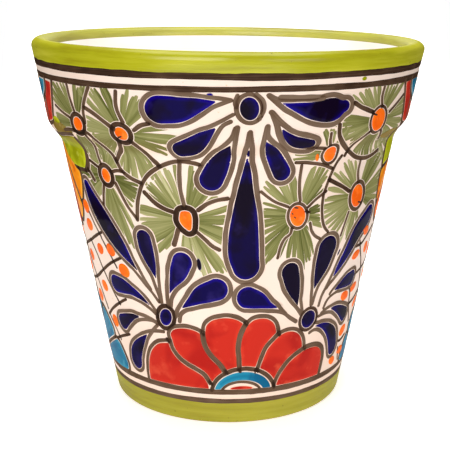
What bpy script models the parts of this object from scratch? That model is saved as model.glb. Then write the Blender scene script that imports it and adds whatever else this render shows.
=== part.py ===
"""A hand-built, glazed earthenware flowerpot: tapered wall, thick collar, rolled lip and a drained floor.

Metres, +Z up. The origin is the middle of the base on the surface that the pot stands on, +Z is the pot's
axis and -Y is the side that carries the middle of the painted panel. Four clay pieces are luted together
(floor, wall, collar strap and lip roll), and the glaze lies on them as a thin coat whose coloured zones
follow one another up the wall.
"""

import math

import bmesh
import bpy

# Driving dimensions of the finished, glazed pot.
HEIGHT = 0.263
RIM_RADIUS = 0.140
BASE_RADIUS = 0.085
WALL_TAPER = 0.186  # radius gained for each metre of height
WALL_THICKNESS = 0.009
COLLAR_BASE = 0.0898  # radius that the collar's outer face would have at the base
COLLAR_TAPER = 0.194
COLLAR_THICKNESS = 0.012
STEP_LOW = 0.195  # where the wall runs into the collar's slanting underside
STEP_HIGH = 0.208
STRAP_LOW = 0.198  # lower edge of the collar strap, where it is still thick enough to be clay
KICK_HIGH = 0.210  # where the clay wall under the strap ends its kick outwards
INNER_KICK_LOW = 0.191  # where the inside starts to widen to the collar
FLOOR_THICKNESS = 0.011
FLOOR_FILLET = 0.002  # where the lining turns from the wall to the floor
DRAIN_RADIUS = 0.012
FOOT_ROUND = 0.003
SHARP_ANGLE = math.radians(35)  # edges that turn by more than this stay crisp
SEGMENTS = 64  # facets round the pot, the same on every piece so that the gaps stay even

# The glaze, and the hair of room that touching pieces keep.
GLAZE = 0.0007
GAP = 0.0003
COAT = GLAZE + GAP

# Heights of the coloured zones of the outer glaze, from the foot up.
FOOT_BAND_TOP = 0.0164
FOOT_LINE_LOW_TOP = 0.0202
FOOT_CREAM_TOP = 0.0235
FOOT_LINE_HIGH_TOP = 0.0269
GROUND_TOP = 0.2386
RIM_LINE_LOW_TOP = 0.2425
RIM_CREAM_TOP = 0.2465
RIM_LINE_HIGH_TOP = 0.2508
LIME_INSIDE_LOW = 0.2552  # how far down the inside the rim's colour runs
UNGLAZED_FOOT = 0.0008  # the bare strip that keeps the coat off the kiln shelf

# The lip roll, which sits on the wall and the collar strap.
LIP_SEAT = 0.2462
LIP_WIDTH = 0.0118
LIP_OUTER_HIGH = 0.2575  # where the lip is widest
LIP_STEPS = 8  # facets over the top of the roll, an even number so that one point is its top

CLAY_WALL = 0.0062  # clay thickness of the wall where the collar strap covers it

CLAY = (0.62, 0.30, 0.18, 0.9, "terracotta")
CREAM = (0.93, 0.83, 0.72, 0.25, "cream_glaze")
LIME = (0.55, 0.58, 0.04, 0.2, "lime_glaze")
BROWN = (0.09, 0.06, 0.05, 0.35, "brown_glaze")


def clear_scene():
    for obj in list(bpy.data.objects):
        bpy.data.objects.remove(obj, do_unlink=True)


def material(red, green, blue, roughness, name):
    """A plain Principled material, made once for each colour."""
    found = bpy.data.materials.get(name)
    if found:
        return found
    made = bpy.data.materials.new(name)
    made.use_nodes = True
    made.diffuse_color = (red, green, blue, 1.0)
    shader = made.node_tree.nodes["Principled BSDF"]
    shader.inputs["Base Color"].default_value = (red, green, blue, 1.0)
    shader.inputs["Roughness"].default_value = roughness
    shader.inputs["Metallic"].default_value = 0.0
    return made


def turned(name, outline, colour):
    """One piece turned round the pot's axis from a closed outline of (radius, height) points."""
    shape = bmesh.new()
    points = [shape.verts.new((radius, 0.0, height)) for radius, height in outline]
    edges = [shape.edges.new((a, b)) for a, b in zip(points, points[1:] + points[:1])]
    bmesh.ops.spin(
        shape,
        geom=points + edges,
        cent=(0.0, 0.0, 0.0),
        axis=(0.0, 0.0, 1.0),
        angle=math.tau,
        steps=SEGMENTS,
        use_merge=True,
    )
    bmesh.ops.recalc_face_normals(shape, faces=shape.faces)
    mesh = bpy.data.meshes.new(name)
    shape.to_mesh(mesh)
    shape.free()
    mesh.shade_smooth()
    mesh.set_sharp_from_angle(angle=SHARP_ANGLE)
    mesh.materials.append(material(*colour))
    piece = bpy.data.objects.new(name, mesh)
    bpy.context.scene.collection.objects.link(piece)
    return piece


def wall_out(height):
    return BASE_RADIUS + WALL_TAPER * height


def wall_in(height):
    return wall_out(height) - WALL_THICKNESS


def collar_out(height):
    return COLLAR_BASE + COLLAR_TAPER * height


def collar_in(height):
    return collar_out(height) - COLLAR_THICKNESS


def outer_points(low, high):
    """Points on the finished outside between two heights, with the corners of the step between them."""
    corners = [(wall_out(STEP_LOW), STEP_LOW), (collar_out(STEP_HIGH), STEP_HIGH)]
    inside = [point for point in corners if low < point[1] < high]
    return [(outside(low), low), *inside, (outside(high), high)]


def outside(height):
    """Radius of the finished outside below the lip."""
    if height <= STEP_LOW:
        return wall_out(height)
    if height >= STEP_HIGH:
        return collar_out(height)
    share = (height - STEP_LOW) / (STEP_HIGH - STEP_LOW)
    return (1 - share) * wall_out(STEP_LOW) + share * collar_out(STEP_HIGH)


def inset(points, distance):
    return [(radius - distance, height) for radius, height in points]


def lip_outline(depth, low_outside, low_inside):
    """The lip's rounded section, depth below the finished surface, from its outside foot over to its inside."""
    half = LIP_WIDTH / 2
    centre = RIM_RADIUS - half
    rise = HEIGHT - LIP_OUTER_HIGH
    crown = []
    for step in range(LIP_STEPS + 1):
        turn = math.pi * step / LIP_STEPS
        crown.append(
            (
                centre + (half - depth) * math.cos(turn),
                LIP_OUTER_HIGH + (rise - depth) * math.sin(turn),
            )
        )
    return [
        (collar_out(low_outside) - depth, low_outside),
        *crown,
        (collar_in(low_inside) + depth, low_inside),
    ]


def glaze_band(name, low, high, colour):
    """A ring of the outer glaze between two heights, a hair short of its neighbours."""
    skin = outer_points(low + GAP / 2, high - GAP / 2)
    return turned(name, skin + inset(skin, GLAZE)[::-1], colour)


def floor_slab():
    """The clay disc that closes the bottom, with the drain hole through its middle."""
    top = FLOOR_THICKNESS - COAT
    edge = wall_in(0.0) - GAP
    outline = [
        (DRAIN_RADIUS, 0.0),
        (edge, 0.0),
        (edge, top),
        (DRAIN_RADIUS, top),
    ]
    return turned("floor_slab", outline, CLAY)


def wall_clay_out(height):
    """Radius of the clay wall's outside under the collar strap, where it kicks out and then follows the collar."""
    low = wall_out(STEP_LOW) - COAT
    high = collar_in(KICK_HIGH) + CLAY_WALL + COAT
    if height >= KICK_HIGH:
        return collar_in(height) + CLAY_WALL + COAT
    return low + (high - low) * (height - STEP_LOW) / (KICK_HIGH - STEP_LOW)


def wall_shell():
    """The tapered clay wall, which kicks out a little where the collar strap wraps it."""
    top = LIP_SEAT - GAP
    corner = FLOOR_THICKNESS - COAT
    outline = [
        (wall_in(0.0), 0.0),
        (wall_out(0.0) - COAT - FOOT_ROUND, 0.0),
        (wall_out(FOOT_ROUND) - COAT, FOOT_ROUND),
        (wall_out(STEP_LOW) - COAT, STEP_LOW),
        (wall_clay_out(KICK_HIGH), KICK_HIGH),
        (wall_clay_out(top), top),
        (collar_in(top) + COAT, top),
        (collar_in(STEP_HIGH) + COAT, STEP_HIGH),
        (wall_in(INNER_KICK_LOW) + COAT, INNER_KICK_LOW),
        (wall_in(corner) + COAT, corner),
        (wall_in(0.0), corner),
    ]
    return turned("wall_shell", outline, CLAY)


def collar_strap():
    """The flat strip of clay luted round the top of the wall, thinned to an edge at the step."""
    top = LIP_SEAT - GAP
    outline = [
        (wall_clay_out(STRAP_LOW) + GAP, STRAP_LOW),
        (outside(STRAP_LOW) - COAT - GAP, STRAP_LOW),
        (collar_out(STEP_HIGH) - COAT, STEP_HIGH),
        (collar_out(top) - COAT, top),
        (wall_clay_out(top) + GAP, top),
        (wall_clay_out(KICK_HIGH) + GAP, KICK_HIGH),
    ]
    return turned("collar_strap", outline, CLAY)


def lip_roll():
    """The rolled coil of clay that finishes the rim."""
    return turned("lip_roll", lip_outline(COAT, LIP_SEAT, LIP_SEAT), CLAY)


def rim_glaze():
    """The lime coat over the lip, down both of its sides."""
    low = RIM_LINE_HIGH_TOP + GAP / 2
    skin = lip_outline(0.0, low, LIME_INSIDE_LOW)
    under = lip_outline(GLAZE, low, LIME_INSIDE_LOW)
    return turned("rim_glaze", skin + under[::-1], LIME)


def inner_glaze():
    """The cream lining of the wall and floor, open over the drain hole."""
    top = LIME_INSIDE_LOW - GAP
    floor = FLOOR_THICKNESS
    fillet = FLOOR_FILLET
    skin = [
        (DRAIN_RADIUS, floor),
        (wall_in(floor) - fillet, floor),
        (wall_in(floor + fillet), floor + fillet),
        (wall_in(INNER_KICK_LOW), INNER_KICK_LOW),
        (collar_in(STEP_HIGH), STEP_HIGH),
        (collar_in(top), top),
    ]
    back = [
        (DRAIN_RADIUS, floor - GLAZE),
        (wall_in(floor) - fillet + GLAZE / 2, floor - GLAZE),
        (wall_in(floor + fillet) + GLAZE, floor + fillet - GLAZE / 2),
        *inset(skin[3:], -GLAZE),
    ]
    return turned("inner_glaze", skin + back[::-1], CREAM)


def foot_glaze():
    """The lime band round the foot, rounded under at its lower edge."""
    low = UNGLAZED_FOOT
    high = FOOT_BAND_TOP - GAP / 2
    under = FOOT_ROUND - low
    outline = [
        (wall_out(0.0) - under, low),
        (wall_out(FOOT_ROUND), FOOT_ROUND),
        (wall_out(high), high),
        (wall_out(high) - GLAZE, high),
        (wall_out(FOOT_ROUND) - GLAZE, FOOT_ROUND),
        (wall_out(0.0) - under - GLAZE, low),
    ]
    return turned("foot_glaze", outline, LIME)


def build():
    clear_scene()
    floor_slab()
    wall_shell()
    collar_strap()
    lip_roll()
    inner_glaze()
    rim_glaze()
    glaze_band("rim_line_upper", RIM_CREAM_TOP, RIM_LINE_HIGH_TOP, BROWN)
    glaze_band("rim_cream_band", RIM_LINE_LOW_TOP, RIM_CREAM_TOP, CREAM)
    glaze_band("rim_line_lower", GROUND_TOP, RIM_LINE_LOW_TOP, BROWN)
    glaze_band("ground_glaze", FOOT_LINE_HIGH_TOP, GROUND_TOP, CREAM)
    glaze_band("foot_line_upper", FOOT_CREAM_TOP, FOOT_LINE_HIGH_TOP, BROWN)
    glaze_band("foot_cream_band", FOOT_LINE_LOW_TOP, FOOT_CREAM_TOP, CREAM)
    glaze_band("foot_line_lower", FOOT_BAND_TOP, FOOT_LINE_LOW_TOP, BROWN)
    foot_glaze()


build()
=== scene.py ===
"""A hand-painted glazed flowerpot: its glazes and its painted relief, built around the packed clay pot.

The pattern is laid out as a decorator would measure it, in millimetres on the wall: x runs round the pot
from the middle of a panel, at the pot's mean radius and positive to the right seen from outside, and z is
the height above the base. Each painted mark is a thin raised solid of glaze that follows the wall.
"""
import math

import bpy
import numpy as np
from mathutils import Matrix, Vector, kdtree, noise
from mathutils.geometry import delaunay_2d_cdt


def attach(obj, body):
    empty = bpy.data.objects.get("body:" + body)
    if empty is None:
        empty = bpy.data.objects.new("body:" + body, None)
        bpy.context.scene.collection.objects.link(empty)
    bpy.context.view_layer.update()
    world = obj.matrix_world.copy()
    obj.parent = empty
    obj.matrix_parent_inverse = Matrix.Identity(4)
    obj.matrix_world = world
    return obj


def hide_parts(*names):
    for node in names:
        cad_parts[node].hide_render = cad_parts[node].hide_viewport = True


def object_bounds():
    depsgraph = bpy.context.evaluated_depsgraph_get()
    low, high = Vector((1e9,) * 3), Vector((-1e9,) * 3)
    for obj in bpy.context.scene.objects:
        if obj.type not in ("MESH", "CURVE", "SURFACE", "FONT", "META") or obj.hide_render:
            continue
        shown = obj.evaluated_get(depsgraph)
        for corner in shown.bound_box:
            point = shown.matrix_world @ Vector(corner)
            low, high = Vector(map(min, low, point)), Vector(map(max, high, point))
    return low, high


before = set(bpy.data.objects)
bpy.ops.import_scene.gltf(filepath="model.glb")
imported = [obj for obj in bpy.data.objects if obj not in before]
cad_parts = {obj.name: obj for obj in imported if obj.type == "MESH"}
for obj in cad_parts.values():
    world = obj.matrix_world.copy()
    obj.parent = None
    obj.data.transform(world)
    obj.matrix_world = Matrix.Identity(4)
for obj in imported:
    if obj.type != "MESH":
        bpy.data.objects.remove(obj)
CAD_LOW, CAD_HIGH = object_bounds()

MM = 0.001
BODY = "root"

# ---- the pot's shape, in millimetres, as the clay was thrown ----
HEIGHT = CAD_HIGH.z / MM
BASE_RADIUS = 85.0
WALL_TAPER = 0.186
COLLAR_BASE = 89.8
COLLAR_TAPER = 0.194
STEP_LOW, STEP_HIGH = 193.0, 209.5
FOOT_ROUND = 3.0
MEAN_RADIUS = 113.6
ROUND = 2 * math.pi * MEAN_RADIUS
INNER_WALL_BASE = 75.8
INNER_COLLAR_BASE = 77.6
INNER_STEP_LOW, INNER_STEP_HIGH = 189.0, 206.0
FLOOR_TOP = 11.0
DRAIN_RADIUS = 12.0
LIP_WIDTH = 11.8
LIP_SHOULDER = 257.4
LIP_SEAT = 247.0
COAT = 0.7
STEP_LEAN = -1.8
LEAN_HEIGHTS = (0.0, 120.0, 200.0, 236.0, 252.0, HEIGHT)
# Each slow wave round the wall: its size in millimetres, its crests in one turn, its phase.
SLOW_WAVES = ((0.22, 2, 0.7), (0.13, 3, -1.1))
SPIRAL_SIZE, SPIRAL_PITCH = 0.05, 5.5

# ---- where the glazes change, heights in millimetres ----
FOOT_LIME_TOP = 17.2
RIM_LIME_LOW = 250.0
RIM_LIME_INSIDE = 254.6
PANEL_BASE = 26.4
# Each brown band: its height, its width, where it starts along x, and how dark it is.
BANDS = {
    "rim_line_upper": (248.6, 4.6, 300.0, 0.75),
    "rim_line_lower": (240.7, 4.0, 57.0, 0.7),
    "foot_line_upper": (26.1, 4.7, 20.0, 0.4),
    "foot_line_lower": (18.6, 3.8, 190.0, 0.4),
}
# In metres: where the painted shade under the step lies, setting in over the first pair and fading over the
# second.
STEP_SHADE_BAND = (0.196, 0.1995, 0.2045, 0.2085)

# ---- how far the glazes stand off the wall, in millimetres; every mark starts UNDER the surface ----
GREEN_LIFT = 0.05
HALO_LIFT = 0.11
FILL_LIFT = 0.12
LINE_LIFT = 0.16
UNDER = -0.15

# ---- the brush marks, in millimetres ----
LINE = 3.0  # a line's usual width
HALO = 0.45  # the bare cream on each side of it
EDGE_GAP = 0.3  # between a line and the colour it bounds
LEAF_TOP = 239.0  # no leaf goes higher
LEAF_WIDEST = 5.4  # a leaf stroke's greatest width, before its profile
# Along a leaf's stroke: how far out, as a part of its reach, and how wide, as a part of its width.
LEAF_PROFILE = ((0.0, 1.22), (0.35, 1.16), (0.6, 1.03), (0.84, 0.88), (0.98, 0.6))
# Across a brush line: how far out each point is, as a part of the half width, and how high.
SECTION = ((-1.0, 0.0), (-0.88, 0.62), (-0.5, 0.94), (0.0, 1.0), (0.5, 0.94), (0.88, 0.62), (1.0, 0.0))
# The distance in millimetres that a point of a line gets where no other line is found.
FAR = 9.0
# Past a line's end: how far out the rings of its round cap lie, as parts of the half width.
CAP = np.array((0.97, 0.85, 0.65, 0.35))
# Along a scallop's edge: how far from a to b, and how far out, as a part of its bulge.
SCALLOP = ((0.0, 0.0), (0.04, 0.45), (0.17, 0.85), (0.5, 1.0), (0.83, 0.85), (0.96, 0.45), (1.0, 0.0))

# How finely the turned skins are cut round the pot, how long the wobble of a line's edge is in millimetres,
# and how far one mark's own texture is shifted from the next one's.
ROUND_STEPS = 432
EDGE_WOBBLE = 7.0
TEXTURE_SHIFT = 3.7


# ------------------------------------------------------------------ the surface that everything lies on

def lean(angle, z, step=STEP_LEAN):
    """How far the hand-made pot rises at this angle: the rim is high at -X, where the step is low."""
    amount = np.interp(z, LEAN_HEIGHTS, (0.0, step / 6, step, 0.2, 1.2, 1.7))
    return -np.sin(angle) * amount


def out_of_round(angle, z):
    """How far the wall stands out from a true circle: slow waves and a faint throwing spiral."""
    grow = np.clip(z / HEIGHT, 0.0, 1.0)
    slow = sum(size * np.cos(count * angle + phase) for size, count, phase in SLOW_WAVES)
    spiral = SPIRAL_SIZE * np.sin(z / SPIRAL_PITCH - angle) * np.clip((z - 10.0) / 20.0, 0.0, 1.0)
    return (slow * grow + spiral) * np.clip((HEIGHT - z) / 12.0, 0.25, 1.0)


def soft_step(z, low, high):
    """0 below low, 1 above high, and a smooth rise between."""
    t = np.clip((z - low) / (high - low), 0.0, 1.0)
    return t * t * (3.0 - 2.0 * t)


def outer_radius(z):
    """Outer radius of the nominal pot at height z: rounded foot, tapered wall, soft step and collar."""
    wall = BASE_RADIUS + WALL_TAPER * z
    collar = COLLAR_BASE + COLLAR_TAPER * z
    foot = np.clip(1.0 - z / FOOT_ROUND, 0.0, 1.0)
    rounding = FOOT_ROUND * (1.0 - np.sqrt(1.0 - foot * foot))
    return wall + (collar - wall) * soft_step(z, STEP_LOW, STEP_HIGH) - rounding


def inner_radius(z):
    """Inner radius of the nominal pot at height z."""
    wall = INNER_WALL_BASE + WALL_TAPER * z
    collar = INNER_COLLAR_BASE + COLLAR_TAPER * z
    return wall + (collar - wall) * soft_step(z, INNER_STEP_LOW, INNER_STEP_HIGH)


def on_wall(x, z, lift, turn=0.0):
    """Places points of the pattern on the pot, lifted off the wall; turn is the panel's angle. In metres."""
    x, z, lift = (np.asarray(v, dtype=float) for v in (x, z, lift))
    angle = x / MEAN_RADIUS + turn
    nominal = z
    for _ in range(3):
        nominal = z - lean(angle, nominal)
    r = outer_radius(nominal) + out_of_round(angle, nominal) + lift
    return np.stack((r * np.sin(angle), -r * np.cos(angle), z), axis=-1) * MM


# ------------------------------------------------------------------ curves in the pattern's plane

def smooth(points, spacing=1.0, closed=False):
    """A smooth curve through rows of (x, z, ...), sampled every spacing millimetres; extra columns follow."""
    p = np.asarray(points, dtype=float)
    if len(p) == 2 and not closed:
        p = np.stack((p[0], (p[0] + p[1]) / 2, p[1]))
    if closed:
        p = np.vstack((p[-1:], p, p[:2]))
    else:
        p = np.vstack((2 * p[0] - p[1], p, 2 * p[-1] - p[-2]))
    rows = []
    for a, b, c, d in zip(p, p[1:], p[2:], p[3:]):
        knots = [0.0]
        for u, v in ((a, b), (b, c), (c, d)):
            knots.append(knots[-1] + max(np.hypot(*(v - u)[:2]), 1e-6) ** 0.5)
        t0, t1, t2, t3 = knots
        count = max(2, int(np.hypot(*(c - b)[:2]) / spacing * 2) + 1)
        t = np.linspace(t1, t2, count, endpoint=False)[:, None]
        ab = (t1 - t) / (t1 - t0) * a + (t - t0) / (t1 - t0) * b
        bc = (t2 - t) / (t2 - t1) * b + (t - t1) / (t2 - t1) * c
        cd = (t3 - t) / (t3 - t2) * c + (t - t2) / (t3 - t2) * d
        left = (t2 - t) / (t2 - t0) * ab + (t - t0) / (t2 - t0) * bc
        right = (t3 - t) / (t3 - t1) * bc + (t - t1) / (t3 - t1) * cd
        rows.append((t2 - t) / (t2 - t1) * left + (t - t1) / (t2 - t1) * right)
    if not closed:
        rows.append(p[-2:-1])
    return resample(np.vstack(rows), spacing, closed)


def resample(path, spacing, closed=False):
    """The same polyline with its points evenly spaced."""
    if closed:
        path = np.vstack((path, path[:1]))
    run = np.concatenate(([0.0], np.cumsum(np.hypot(*np.diff(path[:, :2], axis=0).T))))
    count = max(3, int(round(run[-1] / spacing)) + 1)
    at = np.linspace(0.0, run[-1], count)
    if closed:
        at = at[:-1]
    return np.stack([np.interp(at, run, column) for column in path.T], axis=1)


def ellipse(x, z, rx, rz, tilt=0.0, start=0.0, end=360.0, spacing=0.8):
    """Points on an ellipse, anticlockwise from start to end in degrees; a whole one has no point twice."""
    arc = math.radians(end - start)
    count = max(8, int(abs(arc) * (rx + rz) / 2 / spacing))
    a = math.radians(start) + np.linspace(0.0, arc, count, endpoint=abs(end - start) < 360.0)
    px, pz = rx * np.cos(a), rz * np.sin(a)
    c, s = math.cos(math.radians(tilt)), math.sin(math.radians(tilt))
    return np.stack((x + px * c - pz * s, z + px * s + pz * c), axis=1)


def flanks(stations, grow=0.0, spacing=0.8):
    """A drop's left side, round head, right side and tip, from stations (x, z, half width), tip first."""
    path = smooth(stations, spacing)
    ahead = np.gradient(path[:, :2], axis=0)
    ahead /= np.hypot(*ahead.T)[:, None]
    side = np.stack((-ahead[:, 1], ahead[:, 0]), axis=1)
    half = np.maximum(path[:, 2:3], 0.05) + grow
    left, right = path[:, :2] + side * half, path[:, :2] - side * half
    turns = np.linspace(0.0, math.pi, max(6, int(half[-1, 0] * math.pi / spacing)))[1:-1, None]
    head = path[-1, :2] + half[-1] * (np.cos(turns) * side[-1] + np.sin(turns) * ahead[-1])
    turns = np.linspace(0.0, math.pi, max(4, int(half[0, 0] * math.pi / spacing)))[1:-1, None]
    tip = path[0, :2] - half[0] * (np.cos(turns) * side[0] + np.sin(turns) * ahead[0])
    return left, head, right, tip


def swept(stations, grow=0.0, spacing=0.8):
    """Closed outline of a drop, from the same stations."""
    left, head, right, tip = flanks(stations, grow, spacing)
    return np.vstack((left, head, right[::-1], tip))


def distance(points, outline):
    """Distance from each point to a closed outline, positive inside it."""
    a, b = outline, np.roll(outline, -1, axis=0)
    run = b - a
    length = np.maximum((run ** 2).sum(1), 1e-12)
    nearest = np.empty(len(points))
    inside = np.empty(len(points), dtype=bool)
    for i in range(0, len(points), 4000):
        p = points[i:i + 4000, None, :]
        t = np.clip(((p - a) * run).sum(2) / length, 0.0, 1.0)
        nearest[i:i + 4000] = np.sqrt((((a + t[..., None] * run) - p) ** 2).sum(2).min(1))
        above = (a[:, 1] > p[..., 1]) != (b[:, 1] > p[..., 1])
        rise = np.where(run[:, 1] == 0.0, 1e-12, run[:, 1])
        crosses = above & (p[..., 0] < run[:, 0] * (p[..., 1] - a[:, 1]) / rise + a[:, 0])
        inside[i:i + 4000] = crosses.sum(1) % 2 == 1
    return np.where(inside, nearest, -nearest)


def inset(outline, margin, grid=0.7):
    """The closed outline that lies margin inside the given one (outside it if margin is negative)."""
    reach = grid + max(0.0, -margin)
    low, high = outline.min(0) - reach, outline.max(0) + reach
    nx, nz = (np.ceil((high - low) / grid).astype(int) + 1)
    xs, zs = low[0] + np.arange(nx) * grid, low[1] + np.arange(nz) * grid
    field = distance(np.stack(np.meshgrid(xs, zs, indexing="ij"), axis=-1).reshape(-1, 2), outline)
    field = field.reshape(nx, nz) - margin
    links = {}

    def crossing(i, j, di, dj):
        f, g = field[i, j], field[i + di, j + dj]
        t = f / (f - g)
        return (i, j, di), (xs[i] + t * di * grid, zs[j] + t * dj * grid)

    spots = {}
    for i in range(nx - 1):
        for j in range(nz - 1):
            corners = [field[i, j] > 0, field[i + 1, j] > 0, field[i + 1, j + 1] > 0, field[i, j + 1] > 0]
            if all(corners) or not any(corners):
                continue
            sides = ((i, j, 1, 0), (i + 1, j, 0, 1), (i, j + 1, 1, 0), (i, j, 0, 1))
            found = [crossing(*sides[k]) for k in range(4) if corners[k] != corners[(k + 1) % 4]]
            for key, place in found:
                spots[key] = place
            for (one, _), (two, _) in zip(found[::2], found[1::2]):
                links.setdefault(one, []).append(two)
                links.setdefault(two, []).append(one)
    best, seen = [], set()
    for start in links:
        if start in seen:
            continue
        loop, at = [], start
        while at is not None and at not in seen:
            seen.add(at)
            loop.append(spots[at])
            at = next((k for k in links[at] if k not in seen), None)
        if len(loop) > len(best):
            best = loop
    return resample(np.array(best), 0.8, closed=True)


# ------------------------------------------------------------------ raised glaze

class Relief:
    """Raised glaze of one colour, gathered mark by mark and then made into one object."""

    def __init__(self):
        self.places, self.faces, self.brush, self.tone, self.edge = [], [], [], [], []
        self.routes, self.flats = [], []
        self.count = 0

    def add(self, places, faces, brush, tone, edge):
        """Adds a closed solid: its points in metres, its faces, and what its material reads at each point."""
        self.places.append(places)
        self.faces += [[k + self.count for k in face] for face in faces]
        self.brush.append(brush)
        self.tone.append(tone)
        self.edge.append(edge)
        self.count += len(places)

    def darken_laps(self, reach=1.9, fade=0.9, lapped=0.45, ended=0.16, end_run=3.0):
        """Makes the colour denser where one brush line laps over another, and at the ends of each line."""
        tree = kdtree.KDTree(sum(len(route) for route in self.routes))
        owner = []
        for mark, route in enumerate(self.routes):
            for x, z in route:
                tree.insert((x, z, 0.0), len(owner))
                owner.append(mark)
        tree.balance()
        for mark, (flat, route) in enumerate(zip(self.flats, self.routes)):
            near = np.array([tree.find((x, z, 0.0), filter=lambda k: owner[k] != mark)[2] or FAR
                             for x, z in flat])
            end = np.minimum(*(np.hypot(*(flat - route[k]).T) for k in (0, -1)))
            lap = np.clip((reach - near) / fade, 0.0, 1.0) * lapped
            self.tone[mark] = self.tone[mark] + lap + ended * np.exp(-end / end_run)

    def make(self, name, surface, slot, *nodes):
        """Makes the object, gives it its material, and lets it ride with the pot."""
        mesh = bpy.data.meshes.new(name)
        mesh.from_pydata(np.vstack(self.places).tolist(), [], self.faces)
        mesh.validate()
        for label, kind, values in (("brush", "FLOAT_VECTOR", np.vstack(self.brush)),
                                    ("tone", "FLOAT", np.concatenate(self.tone)),
                                    ("edge", "FLOAT", np.concatenate(self.edge))):
            field = mesh.attributes.new(label, kind, "POINT")
            field.data.foreach_set("vector" if kind == "FLOAT_VECTOR" else "value", values.ravel())
        mesh.shade_smooth()
        piece = bpy.data.objects.new(name, mesh)
        bpy.context.collection.objects.link(piece)
        mesh.materials.append(surface)
        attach(piece, BODY)
        if nodes:
            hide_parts(*nodes)
        return piece


def wavy(values, seed, pitch, amount):
    """Slow hand wobble, 1 plus or minus amount, along a run of positions in millimetres."""
    return np.array([1.0 + amount * 1.8 * noise.noise((v / pitch, seed * 7.31, 0.5)) for v in values])


def stroke(relief, route, width=LINE, lift=LINE_LIFT, height=0.16, turn=0.0, tone=0.0, closed=False,
           ragged=0.1):
    """A raised brush line with round ends along a route of (x, z) or (x, z, width) points."""
    route = np.asarray(route, dtype=float)
    if route.shape[1] == 2:
        route = np.column_stack((route, np.full(len(route), width)))
    path = smooth(route, 1.0, closed)
    ahead = np.gradient(path[:, :2], axis=0)
    if closed:
        ahead = np.roll(path[:, :2], -1, axis=0) - np.roll(path[:, :2], 1, axis=0)
    ahead /= np.maximum(np.hypot(*ahead.T), 1e-9)[:, None]
    half = path[:, 2] / 2
    spots, rounding = path[:, :2], np.ones(len(path))
    if not closed:
        first = path[0, :2] - np.outer(CAP * half[0], ahead[0])
        last = path[-1, :2] + np.outer(CAP[::-1] * half[-1], ahead[-1])
        spots = np.vstack((first, spots, last))
        shrink = np.sqrt(1.0 - CAP ** 2)
        rounding = np.concatenate((shrink, rounding, shrink[::-1]))
        half = np.pad(half, len(CAP), "edge")
        ahead = np.pad(ahead, ((len(CAP), len(CAP)), (0, 0)), "edge")
    side = np.stack((-ahead[:, 1], ahead[:, 0]), axis=1)
    run = np.concatenate(([0.0], np.cumsum(np.hypot(*np.diff(spots, axis=0).T))))
    seed = relief.count % 997 + 1
    edges = {sign: half * rounding * wavy(run, seed + sign, EDGE_WOBBLE, ragged) for sign in (-1, 1)}
    if closed:
        edges = {sign: half for sign in (-1, 1)}
    columns = []
    for across, high in SECTION:
        reach = np.where(across < 0, edges[-1], edges[1]) * across
        columns.append((reach, lift + height * high * np.minimum(rounding + 0.15, 1.0), across))
    under = np.full(len(spots), UNDER)
    columns += [(edges[1], under, 1.0), (-edges[-1], under, -1.0)]
    reach, lifts = (np.stack(part, axis=1) for part in list(zip(*columns))[:2])
    rows, wide = reach.shape
    x = spots[:, :1] + side[:, :1] * reach
    z = spots[:, 1:] + side[:, 1:] * reach
    own = np.full(rows * wide, seed * TEXTURE_SHIFT)
    brush = np.stack((np.repeat(run, wide), reach.ravel(), own), axis=1)
    faces = []
    for i in range(rows if closed else rows - 1):
        j = (i + 1) % rows
        for k in range(wide):
            m = (k + 1) % wide
            faces.append((i * wide + k, j * wide + k, j * wide + m, i * wide + m))
    if not closed:
        faces.append(tuple(range(wide)))
        faces.append(tuple(reversed(range((rows - 1) * wide, rows * wide))))
    edge = np.outer(edges[1], 1.0 - np.abs([across for *_, across in columns]))
    relief.routes.append(path[:, :2])
    relief.flats.append(np.stack((x.ravel(), z.ravel()), axis=1))
    stages = np.linspace(0.0, 1.0, np.size(tone))
    tones = np.interp(np.linspace(0.0, 1.0, rows), stages, np.atleast_1d(tone))
    relief.add(on_wall(x, z, lifts, turn).reshape(-1, 3), faces, brush, np.repeat(tones, wide), edge.ravel())


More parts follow.
